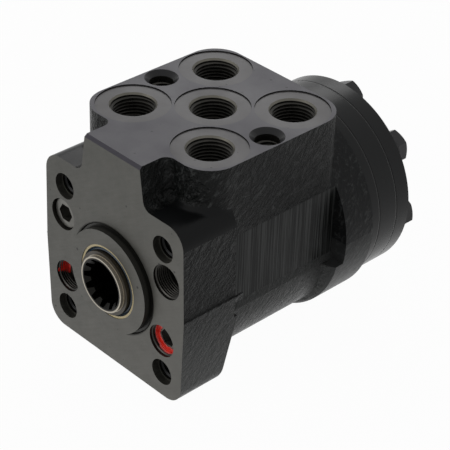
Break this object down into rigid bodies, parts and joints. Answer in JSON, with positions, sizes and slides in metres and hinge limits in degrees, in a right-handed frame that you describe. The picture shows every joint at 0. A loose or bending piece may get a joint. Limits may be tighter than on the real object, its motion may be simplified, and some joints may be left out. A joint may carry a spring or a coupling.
{
  "type": "orbital steering unit",
  "caption": "Black hydraulic steering unit: ported cast housing with a splined shaft in its mounting face and a bolted round gear set behind.",
  "frame": {"origin": "centre of the mounting face on the shaft axis", "axes": "-Y out of the mounting face along the shaft, +Z out of the port face, +X to the right of someone who looks at the mounting face"},
  "size_m": [0.09, 0.1402, 0.104],
  "materials": {
    "housing_black": "gloss black paint on the casting, machined faces bare or thinly coated",
    "drum_black": "satin black paint",
    "screw_black": "satin black paint",
    "washer_black": "satin black paint",
    "plug_steel": "dark oxide, three of them under red sealing paint",
    "shaft_steel": "turned and ground",
    "ground_steel": "ground",
    "spring_steel": "spring steel",
    "seal_rubber": "matte black",
    "seal_ring": "filled low-friction plastic",
    "dust_seal": "pale outer ring, dark blue lip"
  },
  "bodies": {
    "housing": {"housing": "housing_black", "dust_seal": "dust_seal", "shaft_seal_ring": "seal_ring", "shaft_o_ring": "seal_rubber", "bearing_race_front": "ground_steel", "distribution_plate": "drum_black", "gear_ring": "drum_black", "end_cover": "drum_black", "cover_screws": "screw_black", "special_screw": "screw_black", "screw_washers": "washer_black", "face_o_ring_front": "seal_rubber", "face_o_ring_middle": "seal_rubber", "face_o_ring_rear": "seal_rubber", "check_bushing": "ground_steel", "check_ball_pin": "ground_steel", "suction_pin_left": "ground_steel", "suction_pin_right": "ground_steel", "gallery_plug": "plug_steel", "relief_seat": "ground_steel", "relief_plug": "plug_steel", "relief_spring": "spring_steel", "shock_left_seat": "ground_steel", "shock_left_plug": "plug_steel", "shock_left_spring": "spring_steel", "shock_right_seat": "ground_steel", "shock_right_plug": "plug_steel", "shock_right_spring": "spring_steel"},
    "sleeve": {"sleeve": "ground_steel", "cross_pin": "ground_steel", "spring_retaining_ring": "ground_steel", "centring_springs": "spring_steel", "bearing_race_rear": "ground_steel"},
    "spool": {"spool": "shaft_steel"},
    "orbit": {"spacer": "ground_steel"},
    "star": {"gear_star": "ground_steel"},
    "cardan": {"cardan_shaft": "ground_steel"},
    "bearing": {"bearing_cage": "ground_steel", "bearing_needles": "ground_steel"},
    "check_ball": {"check_ball": "ground_steel"},
    "suction_ball_left": {"suction_ball_left": "ground_steel"},
    "suction_ball_right": {"suction_ball_right": "ground_steel"},
    "relief_poppet": {"relief_poppet": "ground_steel"},
    "shock_left_poppet": {"shock_left_poppet": "ground_steel"},
    "shock_right_poppet": {"shock_right_poppet": "ground_steel"}
  },
  "joints": [
    {"name": "sleeve_turn", "type": "hinge", "parent": "housing", "child": "sleeve", "pos_m": [0, 0.05, 0], "axis": [0, 1, 0], "continuous": true},
    {"name": "spool_turn", "type": "hinge", "parent": "sleeve", "child": "spool", "pos_m": [0, 0.05, 0], "axis": [0, 1, 0], "range_deg": [-10, 10], "stiffness_Nm_per_rad": 2, "deforming": ["centring_springs"]},
    {"name": "orbit_turn", "type": "hinge", "parent": "housing", "child": "orbit", "pos_m": [0, 0.1138, 0], "axis": [0, 1, 0], "continuous": true},
    {"name": "star_turn", "type": "hinge", "parent": "orbit", "child": "star", "pos_m": [0, 0.1138, 0.0032], "axis": [0, 1, 0], "continuous": true},
    {"name": "cardan_turn", "type": "hinge", "parent": "orbit", "child": "cardan", "pos_m": [0, 0.042, 0], "axis": [0, 0.999, 0.0445], "continuous": true},
    {"name": "bearing_turn", "type": "hinge", "parent": "housing", "child": "bearing", "pos_m": [0, 0.0094, 0], "axis": [0, 1, 0], "continuous": true},
    {"name": "check_ball_lift", "type": "slide", "parent": "housing", "child": "check_ball", "axis": [0, 0, 1], "range_m": [0, 0.0015]},
    {"name": "suction_ball_left_lift", "type": "slide", "parent": "housing", "child": "suction_ball_left", "axis": [0, 1, 0], "range_m": [0, 0.0018]},
    {"name": "suction_ball_right_lift", "type": "slide", "parent": "housing", "child": "suction_ball_right", "axis": [0, 1, 0], "range_m": [0, 0.0018]},
    {"name": "relief_lift", "type": "slide", "parent": "housing", "child": "relief_poppet", "axis": [0, -1, 0], "range_m": [0, 0.0015], "stiffness_N_per_m": 300, "springref_m": -0.004, "deforming": ["relief_spring"]},
    {"name": "shock_left_lift", "type": "slide", "parent": "housing", "child": "shock_left_poppet", "axis": [0, -1, 0], "range_m": [0, 0.0015], "stiffness_N_per_m": 300, "springref_m": -0.004, "deforming": ["shock_left_spring"]},
    {"name": "shock_right_lift", "type": "slide", "parent": "housing", "child": "shock_right_poppet", "axis": [0, -1, 0], "range_m": [0, 0.0015], "stiffness_N_per_m": 300, "springref_m": -0.004, "deforming": ["shock_right_spring"]}
  ],
  "couplings": [
    {"joint": "orbit_turn", "follows": "sleeve_turn", "ratio": -6},
    {"joint": "star_turn", "follows": "sleeve_turn", "ratio": 7},
    {"joint": "cardan_turn", "follows": "sleeve_turn", "ratio": 7},
    {"joint": "bearing_turn", "follows": "sleeve_turn", "ratio": 0.5}
  ]
}
